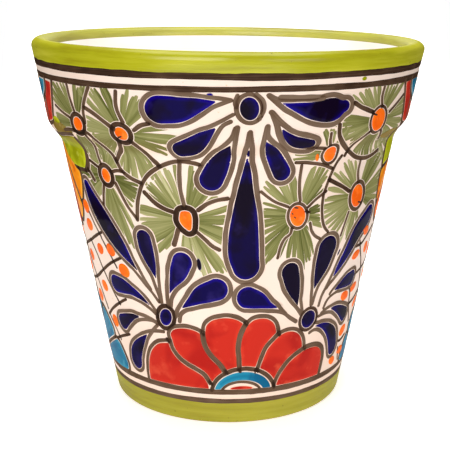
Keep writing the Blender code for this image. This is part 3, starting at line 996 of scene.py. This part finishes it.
def upper_fan(p):
    """Seven cobalt drops hanging from an oval under the rim."""
    p.bud(10.7, 229, 5.1, 7.3, 6, 2.7, tone=0.25)
    p.edge((4.4, 237.2), (3.3, 233), (4, 230), width=2.4, tone=0.1)
    p.edge((13.9, 237.6), (17.3, 233.5), (17.9, 228), (15.9, 222.5), tone=-0.3)
    p.drop(((-6, 233.6, 0.3), (-16, 231, 4.9), (-26, 228.2, 8.2), (-35.8, 227.7, 9.0)),
           ((-3.2, 232.3), (1, 234.1)), ((-4.6, 235.5), (1, 234.5)), 2.7)
    p.drop(((-6.5, 217.3, 0.3), (-13.2, 210.9, 4.2), (-20.2, 204.8, 6.0), (-26.2, 202.4, 5.3)),
           ((-2.8, 218.8), (1, 221.1)), ((-4, 221.2), (2.2, 225.4)), 2.6, 0.45)
    p.drop(((0.8, 205.4, 0.4), (-2, 199.5, 4.1), (-6.5, 190.5, 6.8), (-10.3, 182.3, 7.4)),
           ((3.6, 209.5), (4.6, 217.4)), ((1.6, 210.5), (3.6, 216.8)), 2.9, 0.4)
    p.drop(((19.9, 208, 0.4), (24.2, 201, 3.7), (29.2, 192.4, 5.3), (32.3, 186.3, 5.7)),
           ((20.8, 212), (20.7, 217.8)), ((19.2, 211), (20.2, 217.4)), 3.0)
    p.drop(((28.4, 216, 0.3), (31.4, 211.6, 2.2), (36.4, 207.4, 3.5), (42.4, 205.4, 3.7), (46.6, 204.7, 3.2)),
           ((25.8, 222), (22.3, 226.6)), ((25.2, 219), (22.8, 225.8)), 3.4, 0.5)
    p.drop(((27.5, 231.9, 0.3), (36, 229.1, 3.1), (46, 226.4, 6.0), (54.5, 226.1, 7.8), (60, 226.8, 7.0),
            (64, 227.8, 4.2)),
           ((24.5, 234.7), (20.4, 236.9)), ((24.2, 232.8), (20.6, 236.4)), 3.2)
    p.edge((27, 235), (38, 234.6), (50, 234.4), width=4.4, tone=-0.35)
    p.drop(((10.8, 197.5, 0.4), (11, 189, 2.4), (10.4, 174, 5.2), (10.4, 158, 8.3), (10, 142, 10.2),
            (10.5, 130, 10.6), (12.3, 122.2, 9.6)),
           ((13.2, 203), (12, 209), (11.5, 214.2)), ((9.5, 203), (10.6, 209), (11.3, 213.8)), 3.2, 0.35)
    p.fill("cobalt", petal(((10, 200), (11.3, 203), (13, 200)),
                           ((13, 200), (11.8, 197.4), (10.6, 197.6), (10, 200))), 0.2)
    p.fill("cobalt", ellipse(-9.5, 237.4, 1.9, 1.4), 0.2)


def left_fan(p):
    """Seven cobalt drops round the lower left oval."""
    p.drop(((-69.5, 113, 0.3), (-75, 119, 2.4), (-83, 128.5, 5.9), (-95.5, 143.3, 8.0), (-105.8, 157, 7.0),
            (-111, 168, 3.8)),
           ((-64.5, 104.5), (-58.5, 98), (-54, 92.4)), ((-65, 109), (-60, 101)), 2.8, 0.1)
    p.drop(((-54, 110, 0.3), (-56.3, 119.5, 3.8), (-59, 130, 6.0), (-60, 138.4, 5.9)),
           ((-55.2, 104), (-53.2, 97.5), (-52.6, 92.5)), ((-52, 103), (-51.5, 92)), 2.9, 0.6)
    p.drop(((-44, 100, 0.3), (-40.7, 107, 3.0), (-36.3, 115, 6.4), (-32.3, 124, 7.4)),
           ((-46.2, 96), (-46, 90)), ((-42.6, 96.8), (-44, 90.5)), 3.2)
    p.drop(((-35.5, 89.8, 0.3), (-28.3, 95, 3.3), (-19.5, 101, 6.9), (-8.4, 105.4, 8.3)),
           ((-39, 88), (-41, 83)), ((-36.3, 85.4), (-38, 79.8)), 3.4)
    p.drop(((-62.5, 88.3, 0.3), (-70, 92.8, 2.2), (-79, 96.4, 3.9), (-88, 98.1, 6.1), (-97, 98.2, 6.8)),
           ((-60.8, 84.6), (-57, 81.4)), ((-60, 87.8), (-57, 84)), 2.8)
    p.drop(((-74.5, 77.5, 0.3), (-82, 76.1, 2.3), (-89.5, 73, 4.2), (-97.5, 68.8, 6.2)),
           ((-70, 76.3), (-63, 76.8), (-57.6, 75.2)), ((-68, 79), (-59, 76.4)), 2.9, 0.5)
    p.drop(((-70, 64.8, 0.3), (-76.5, 58.9, 3.0), (-82.5, 52.6, 5.4), (-87, 46, 6.7), (-88.3, 40.4, 6.8)),
           ((-66, 66), (-62, 70.6), (-57.5, 74.5)), ((-66, 68.2), (-60, 69.4), (-53, 70)), 2.8, 0.5)
    p.bud(-49.5, 81.4, 5.2, 6.8, -22, 3.5, tone=0.75)
    p.fill("cobalt", ellipse(-20.2, 123.3, 1.7, 4.5, 6), 0.2)


def right_fan(p):
    """Seven cobalt drops round the lower right oval."""
    p.drop(((38, 89.8, 0.3), (30.8, 92.6, 2.8), (23, 96.5, 6.3), (14.2, 99.3, 8.2)),
           ((42, 86), (48.5, 81.4), (55, 77.4)), ((41, 88.6), (44.6, 85)), 3.0)
    p.drop(((54.5, 89.8, 0.3), (52, 96.5, 3.3), (48.5, 105.6, 6.0), (45, 115.8, 6.8)),
           ((55.6, 86.3), (58.3, 82.6)), ((58.2, 89), (59.3, 84)), 3.0, 0.95)
    p.drop(((68, 100, 0.3), (69.7, 107, 3.5), (72.2, 116, 6.7), (75, 129.3, 8.5)),
           ((66.2, 95), (67.1, 88)), ((69.7, 95.5), (68.3, 88.4)), 2.9, 0.85)
    p.drop(((86.3, 105, 0.3), (91, 111.8, 2.9), (99, 122, 5.0), (109, 135, 7.5), (121.5, 143.6, 8.2)),
           ((80.4, 99), (76.7, 92), (75.4, 86)), ((84.5, 101.3), (81, 98)), 2.8, 0.1)
    p.drop(((91, 94.4, 0.3), (98.3, 96.4, 3.1), (106, 98.2, 5.4), (114.3, 98.7, 6.0)),
           ((88.6, 95), (86.2, 92.6)), ((86.6, 90), (83.3, 87), (81.6, 82.8)), 2.6, 0.5)
    p.drop(((90, 80.6, 0.3), (97.2, 79.1, 2.3), (105.5, 75.7, 4.0), (115.2, 70.2, 5.8)),
           ((85, 81.6), (79.8, 79)), ((84, 78.4), (77.5, 77.4)), 2.8, 0.5)
    p.drop(((75, 70, 0.3), (82.5, 69.1, 2.0), (91, 65.3, 4.0), (100, 57.5, 6.1), (105.4, 46.6, 6.2)),
           ((74.5, 73.2),), ((74, 67.2), (70.2, 65.9)), 2.8, 0.4)
    p.bud(66.8, 77.2, 6.8, 6.8, 0, 2.6, tone=0.6)
    p.fill("cobalt", ellipse(88, 123.5, 0.9, 2.8, -25), 0.12)


def half_daisy(p):
    """The red half daisy on the lower line: six petals round a turquoise arch."""
    base = PANEL_BASE
    spines = (((-76.5, base), (-75.8, 37), (-73, 47.5), (-68, 55.5), (-60, 61.5), (-48, 64)),
              ((-15.5, 33), (-20, 39.5), (-27, 43.6), (-35, 47.2), (-42, 52), (-46.5, 58), (-48, 64)),
              ((-2, 41.8), (-7, 48.4), (-13, 54), (-17.5, 60.3), (-19.5, 66), (-20, 73)),
              ((9.5, 44.6), (8.8, 53), (8, 60), (8.6, 67), (10.6, 74), (14, 80.5)),
              ((24.4, 43.6), (27.5, 52.5), (30.3, 59.3), (35, 65), (41, 70.5)),
              ((40.6, 29), (43, 35), (46.5, 41), (52, 47), (59, 51.5), (67, 55)),
              ((91.3, base), (92, 36), (91.8, 43.5), (89, 50), (83, 54.3), (75, 55.6), (67, 55)))
    crowns = (((-48, 64), (-49, 69), (-46, 73.6), (-40, 76), (-33, 76.7), (-26, 75.6), (-20, 73)),
              ((-20, 73), (-18.6, 79), (-13.4, 83.8), (-6, 86), (1, 86.2), (8, 84.4), (14, 80.5)),
              ((14, 80.5), (18.5, 83.8), (25, 85), (32, 83.7), (37.8, 79), (41, 70.5)),
              ((41, 70.5), (48, 72.3), (55, 71.5), (61.3, 67.8), (65, 62), (67, 55)))
    ring = ellipse(13.3, 24, 28, 20.6, 0, 9, 171)[::-1]

    def root(first, last):
        """The stretch of the ring between two places across it."""
        return ring[(ring[:, 0] > first) & (ring[:, 0] < last)]

    p.cell("red", petal(spines[0], spines[1][::-1], ((-15.5, 33), (-14.6, 29), (-14.5, base)),
                        ((-14.5, base), (-45, base), (-76.5, base))), 2.0, tone=0.2)
    for k, crown in enumerate(crowns):
        left, right = spines[k + 1], spines[k + 2]
        p.cell("red", np.vstack((petal(left, crown, right[::-1]), root(left[0][0], right[0][0])[::-1])), 1.9)
    p.cell("red", petal(spines[5], spines[6][::-1], ((91.3, base), (66, base), (41, base))), 2.0, tone=0.1)
    for spine, width in zip(spines, (3.0, 3.5, 4.3, 4.3, 3.5, 3.6, 3.9)):
        p.edge(*spine, width=width, tone=0.35)
    for crown in crowns:
        p.edge(*crown, width=3.1, tone=0.3)
    p.edge(*ring[::3], width=3.4, tone=0.55)
    outer = ellipse(13.1, 24, 25.6, 18.3, 0, 12, 168)
    inner = ellipse(12, 24, 19.8, 11.4, 0, 20, 158)
    p.fill("turquoise", np.vstack((outer, inner[::-1])))
    p.edge((23, 43), (22.8, 39.6), (22.3, 37.6), width=1.2)
    p.edge(*ellipse(11.4, 24, 18, 10.2, 0, 24, 156, 2.0), width=2.2, tone=0.35)
    p.fill("red", np.vstack((ellipse(11.8, 28.2, 10.6, 2.7, 0, 0, 180), ((1.4, 28.1), (22.2, 28.1)))), 0.2)
    for x, z in ((-50, 63.4), (13.5, 80), (-20, 72.4), (40.8, 70), (67, 54.6), (-1.8, 42.6), (9.4, 43.4),
                 (24.6, 43), (-15, 33.6), (40.8, 30)):
        p.edge((x - 0.8, z + 1), (x + 0.8, z - 1.2), width=2.6, tone=0.5)


def scallop(a, b, bulge):
    """A blunt, rounded edge from a to b that stands out by bulge, to the right of the way from a to b."""
    a, b = np.array(a, dtype=float), np.array(b, dtype=float)
    run = b - a
    out = np.array((run[1], -run[0])) / np.hypot(*run) * bulge
    return [tuple(a + run * t + out * part) for t, part in SCALLOP]


def scalloped(p, notches, bulges, roots, colours, margin=1.75, width=2.8, tone=0.4):
    """A row of scalloped petals between roots and notches, in brown outline."""
    for k, colour in enumerate(colours):
        crown = scallop(notches[k], notches[k + 1], bulges[k])
        sides = smooth((roots[k], notches[k]), 0.8)[:-1], smooth((notches[k + 1], roots[k + 1]), 0.8)
        p.cell(colour, np.vstack((sides[0], smooth(crown, 0.8), sides[1])), margin)
        p.edge(*crown, width=width, tone=tone)
    for root, notch in zip(roots[1:-1], notches[1:-1]):
        p.edge(root, notch, width=width * 0.9, tone=tone)


def hanging_daisy(p):
    """The red daisy that hangs from the rim on each side, round a turquoise and amber heart."""
    top = 239.5
    hood = ((-60.5, top), (-56, 229), (-51, 217), (-48, 209.5), (-34, 206))
    mirror = ((61.4, top), (56.4, 228), (51.5, 217), (48, 210), (34, 206.5))
    hang = ellipse(0, top + 1, 48.5, 22.5, 0, 180, 360)
    tips = ((-34, 206), (-12, 201), (12, 201), (34, 206.5))
    cuts = [int(len(hang) * k / 5) for k in range(6)]
    for edge, tip, part in ((hood, cuts[1], hang[:cuts[1]][::-1]), (mirror, cuts[4], hang[cuts[4]:])):
        p.cell("red", np.vstack((petal(edge, (edge[-1], tuple(hang[tip]))), part)), 1.7)
        p.edge(*edge, tone=0.45)
    for k, (left, right) in enumerate(zip(tips, tips[1:])):
        middle = ((left[0] + right[0]) / 2, min(left[1], right[1]) - 6.5)
        part = hang[cuts[k + 1]:cuts[k + 2]]
        p.cell("red", np.vstack((petal((left, middle, right), (right, tuple(part[-1]))), part[::-1])), 1.9)
        p.edge(left, middle, right, tone=0.35)
    for cut, tip in zip(cuts[1:5], tips):
        p.edge(tuple(hang[cut]), tip, tone=0.35)
    p.edge(*hang[::3])
    band = ellipse(0, top + 1, 29, 12, 0, 180, 360)
    p.cell("turquoise", np.vstack((hang, band[::-1])), 1.9)
    p.edge(*band[::3], width=2.6)
    p.cell("amber", np.vstack((band, ((0, top + 1),))), 1.9)


def corolla(p):
    """The scalloped corolla under the hanging daisy, with a lime leaf at its side and olive patches of
    painted shade under the step by it.
    """
    throat = ellipse(3, 203, 27, 26, 0, 180, 360)
    notches = ((-49, 203), (-47.5, 177), (-40, 150), (-25, 136), (0, 131), (22, 135), (37, 137.5), (49, 153),
               (60, 178.5))
    roots = [(-43, 206)]
    roots += [tuple(throat[int(k)]) for k in np.linspace(30, len(throat) - 6, len(notches) - 1)]
    scalloped(p, notches, (3, 4, 6, 6, 6, 5, 5, 5.5), roots,
              ("lime", "amber", "orange", "turquoise", "lime", "red", "amber", "amber"), tone=0.45)
    corner, end = roots[-1], (73, 204.5)
    below = smooth((corner, (42, 181.5), (60, 178.5), (71.5, 178.8)), 0.8)
    beside = smooth(((71.5, 178.8), (75, 185), (75.6, 195), end), 0.8)
    above = smooth((end, (62, 203.3), (50, 201.3), (30, 200)), 0.8)
    # Olive patches on both sides, under the step: painted shade where the collar's underside faces down.
    p.fill("olive", petal(((46, 208.5), (52, 212), (60, 211.5), (68, 208.8), (78, 206.6)),
                          ((78, 206.6), (64, 203.5), (46, 201), (46, 208.5))), 0.15)
    p.fill("lime", ellipse(54.5, 211.8, 6, 2.4, -8), 0.3)
    p.fill("olive", petal(((-75, 203.6), (-64, 206.4), (-54, 206.2), (-45, 204.8)),
                          ((-45, 204.8), (-54, 200.6), (-64, 200.2), (-75, 203.6))), 0.15)
    leaf = (below, beside, above, smooth(((30, 200), corner), 0.8))
    p.cell("lime", np.vstack([side[:-1] for side in leaf]), 1.6)
    p.edge(*below[::8], tone=0.5)
    p.edge(*beside[::5], width=3.6, tone=0.45)
    p.edge(*above[::8], width=2.6, tone=0.5)
    p.cell("turquoise", throat, 1.9)
    p.edge(*throat[::3])
    p.edge((-30, 206), (-43, 206), (-49, 203), width=2.6, tone=0.45)


def lattice(p):
    """Brown lines that cross the side, with an orange dot in each gap."""
    for route in (
            ((-68, 123), (-58, 123), (-48, 127), (-36, 131.5)),
            ((-60, 99.5), (-48, 100.5), (-24, 104), (4, 108.5), (28, 116), (53, 125), (68, 132), (75, 135)),
            ((8, 86), (28, 90), (48, 96), (65, 105), (81, 114), (94, 120)),
            ((-60, 76), (-47, 78), (-32, 83)),
            ((57.5, 69), (66.5, 75), (78.5, 82), (90.5, 88)),
            ((64, 51.5), (75.5, 56), (86.5, 60)),
            ((-66, 49), (-58, 48), (-50, 50.5))):
        p.edge(*route, width=2.2, tone=0.6)
    for route in (
            ((-62, 126), (-56.5, 117), (-48.5, 107), (-42.5, 98), (-36, 86), (-30, 76)),
            ((-65.5, 92), (-60.5, 87), (-57.5, 78), (-52.5, 70), (-46, 60)),
            ((-61, 43), (-57.4, 37), (-54, 31)),
            ((-30, 131), (-18, 112), (-8, 96), (-2, 84)),
            ((2, 128), (14, 110), (24, 96), (31, 82)),
            ((24, 132), (35, 113), (45.5, 95), (51.5, 85), (57.5, 73)),
            ((51.4, 125), (58.5, 116), (63.5, 108), (68.5, 100), (74.5, 91), (81.5, 82)),
            ((73, 130), (80.5, 120), (86.4, 111)),
            ((61, 148), (68.5, 137), (73, 131)),
            ((59, 68.5), (65.5, 60), (71, 52))):
        p.edge(*route, width=1.5, tone=0.45, ragged=0.25)
    dots = ((57.4, 150.5), (56.4, 136.8), (67, 121), (82.5, 123.5), (94.4, 110.5), (44.5, 111.5),
            (60.4, 91.5), (43.5, 80), (67.4, 66), (-64.2, 116), (-53.3, 132), (-43.5, 117), (-69.5, 86),
            (-54.4, 89), (-38.5, 73.5), (-58.2, 56), (-54, 39), (-68.2, 34.5), (-26, 111), (-4, 116),
            (14, 122), (-20, 92), (8, 98), (30, 101), (24, 126))
    for k, (x, z) in enumerate(dots):
        flat = 0.8 if x < 0 else 0.0
        rx, rz = 5.3 + flat + 0.6 * math.sin(k * 2.1), 4.6 - flat + 0.5 * math.cos(k * 1.7)
        p.fill("orange", ellipse(x, z, rx, rz, 20 * math.sin(k)), 0.35, 0.2)


def lower_daisy(p):
    """The turquoise daisy with a red heart that stands on the lower line."""
    base = PANEL_BASE
    notches = ((-47.5, base), (-39, 50), (-27, 64.5), (4, 80.5), (38, 70.5), (58.5, 50.5), (73.5, base))
    ring = ellipse(4, base - 2, 25, 23, 0, 0, 180)[::-1]
    roots = [tuple(ring[int(k)]) for k in np.linspace(0, len(ring) - 1, len(notches))]
    scalloped(p, notches[::-1], (8, 7.5, 5, 5, 7, 5.5), roots[::-1], ("turquoise",) * 6)
    p.edge(*ring[::3])
    p.cell("red", np.vstack((ring, ((29, base), (-21, base)))), 2.0)


def side_panel(p):
    """The side, from its rim down."""
    hanging_daisy(p)
    corolla(p)
    lattice(p)
    lower_daisy(p)


def front_panel(p):
    """The main panel: flowers, drops, the half daisy, a drip of the rim's lime and two loose marks."""
    flower_leaves(p)
    flower_ribs(p)
    flower_hearts(p)
    left_fan(p)
    right_fan(p)
    upper_fan(p)
    half_daisy(p)
    p.fill("lime", ellipse(75.5, 244.4, 1.7, 1.3), 0.2)
    p.line((-101.5, 190), (-101.8, 184), (-104, 179.5), width=3.4, tone=0.4)
    p.line((-104, 180.5), (-101, 177), (-98.5, 173.5), width=3.2, tone=0.45)


# ------------------------------------------------------------------ the scene

CREAM, LINING, BROWN, CLAY = cream_glaze(), lining_glaze(), brown_line(), bare_clay()
# The foot's lime is the rim's made darker: painted shade, as less light reaches the foot.
LIME, SHADED_LIME_FOOT = lime_glaze("lime_glaze", 0.0), lime_glaze("shaded_lime_foot_glaze", 0.5)
# The cobalt's light colour is mostly a painted sheen: reflections painted into its lighter washes.
COBALT = pooled_glaze("cobalt_glaze", srgb(20, 5, 134), srgb(9, 2, 66), srgb(13, 4, 26), srgb(48, 38, 116),
                      0.1, 26.0, srgb(150, 138, 165), coat=0.13)
RED = pooled_glaze("red_glaze", srgb(206, 56, 37), srgb(191, 41, 28), srgb(170, 27, 20), srgb(222, 88, 60),
                   0.16, 34.0, srgb(240, 190, 165))
ORANGE = pooled_glaze("orange_glaze", srgb(255, 126, 28), srgb(254, 108, 16), srgb(242, 98, 18),
                      srgb(255, 146, 66), 0.25, 80.0)
AMBER = pooled_glaze("amber_glaze", srgb(250, 170, 40), srgb(248, 146, 18), srgb(232, 112, 12),
                     srgb(255, 190, 90), 0.2, 60.0)
TURQUOISE = pooled_glaze("turquoise_glaze", srgb(40, 142, 176), srgb(18, 114, 150), srgb(10, 92, 132),
                         srgb(68, 158, 184), 0.16, 60.0, srgb(215, 225, 225))
# The lime patches turn a darker olive under the step, as painted shade.
LIME_PATCH = pooled_glaze("lime_patch_glaze", srgb(190, 196, 40), srgb(172, 180, 22), srgb(140, 146, 12),
                          srgb(205, 212, 80), 0.2, 50.0, coat=0.08, step_shade_colour=srgb(138, 124, 44))
# The olive patches are painted shade under the step.
OLIVE_STEP_SHADE = pooled_glaze("olive_step_shade_glaze", srgb(170, 152, 78), srgb(152, 132, 62), srgb(122, 100, 42),
                     srgb(178, 164, 96), 0.2, 50.0, coat=0.08)
GREEN = green_wash()

PAINTS = {
    "halo": (CREAM, "cream_glaze"),
    "line": (BROWN, "brown_glaze"),
    "green": (GREEN, "olive_glaze"),
    "cobalt": (COBALT, "cobalt_glaze"),
    "red": (RED, "red_glaze"),
    "orange": (ORANGE, "orange_glaze"),
    "amber": (AMBER, "amber_glaze"),
    "turquoise": (TURQUOISE, "turquoise_glaze"),
    "lime": (LIME_PATCH, "lime_glaze"),
    "olive": (OLIVE_STEP_SHADE, "olive_glaze"),
}


def dress_clay():
    """The bare clay pieces of the pot keep their solids and get a terracotta surface."""
    for node in ("floor_slab", "wall_shell"):
        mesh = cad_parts[node].data
        mesh.materials.clear()
        mesh.materials.append(CLAY)


def studio():
    """A pale sweep with soft lights, in a room that is dim and warm but shows as plain white."""
    half, near, depth, rise, bend = 0.38, -0.9, 1.1, 1.0, 0.45
    curve = np.linspace(0.1, math.pi / 2, 16)
    profile = [(near, 0.0), (depth - bend, 0.0)]
    profile += [(depth - bend + bend * math.sin(a), bend - bend * math.cos(a)) for a in curve]
    profile.append((depth, rise))
    points = [(x, y, z) for x in (-half, half) for y, z in profile]
    count = len(profile)
    faces = [(k, k + count, k + 1 + count, k + 1) for k in range(count - 1)]
    mesh = bpy.data.meshes.new("studio_sweep")
    mesh.from_pydata(points, [], faces)
    mesh.shade_smooth()
    mesh.materials.append(studio_floor())
    floor = bpy.data.objects.new("studio_sweep", mesh)
    bpy.context.collection.objects.link(floor)

    world = bpy.data.worlds.new("studio_surround")
    world.use_nodes = True
    nodes, links = world.node_tree.nodes, world.node_tree.links
    room, seen = nodes["Background"], nodes.new("ShaderNodeBackground")
    room.inputs["Color"].default_value = (1.0, 0.88, 0.76, 1.0)
    room.inputs["Strength"].default_value = 0.2
    seen.inputs["Color"].default_value = (1.0, 1.0, 1.0, 1.0)
    choose = nodes.new("ShaderNodeMixShader")
    links.new(nodes.new("ShaderNodeLightPath").outputs["Is Camera Ray"], choose.inputs["Fac"])
    links.new(room.outputs["Background"], choose.inputs[1])
    links.new(seen.outputs["Background"], choose.inputs[2])
    links.new(choose.outputs["Shader"], nodes["World Output"].inputs["Surface"])
    bpy.context.scene.world = world
    for name, place, aim, size, power in (
            ("key_light", (-0.55, -1.5, 0.9), (0, 0, 0.14), 1.1, 17.8),
            ("fill_light", (0.9, -1.3, 0.6), (0, 0, 0.15), 0.9, 5.2),
            ("top_light", (0.0, 0.35, 1.7), (0, 0.2, 0.1), 1.5, 24.0)):
        lamp = bpy.data.lights.new(name, "AREA")
        lamp.size = size
        lamp.energy = power
        lamp.color = (1.0, 0.965, 0.915)
        light = bpy.data.objects.new(name, lamp)
        light.location = place
        light.rotation_euler = (Vector(aim) - Vector(place)).to_track_quat("-Z", "Y").to_euler()
        bpy.context.collection.objects.link(light)


def camera():
    """The camera stands a little above the rim and looks down at the pot."""
    lens = bpy.data.cameras.new("camera")
    lens.sensor_width = 36.0
    lens.lens = 80.0
    eye = bpy.data.objects.new("camera", lens)
    eye.location = (-0.00216, -0.7335, 0.3098)
    eye.rotation_euler = (math.radians(75.7), 0.0, 0.0)
    bpy.context.collection.objects.link(eye)
    bpy.context.scene.camera = eye


camera()
dress_clay()
wall_skin()
rim_skin()
foot_skin()
lining_skin()
clay_skins()
band_lines()
for side, turn, draw in (("front", 0.0, front_panel), ("back", math.pi, front_panel),
                         ("left", -math.pi / 2, side_panel), ("right", math.pi / 2, side_panel)):
    panel = Panel(side, turn)
    draw(panel)
    panel.make()
studio()
bpy.context.scene.view_settings.view_transform = "Standard"
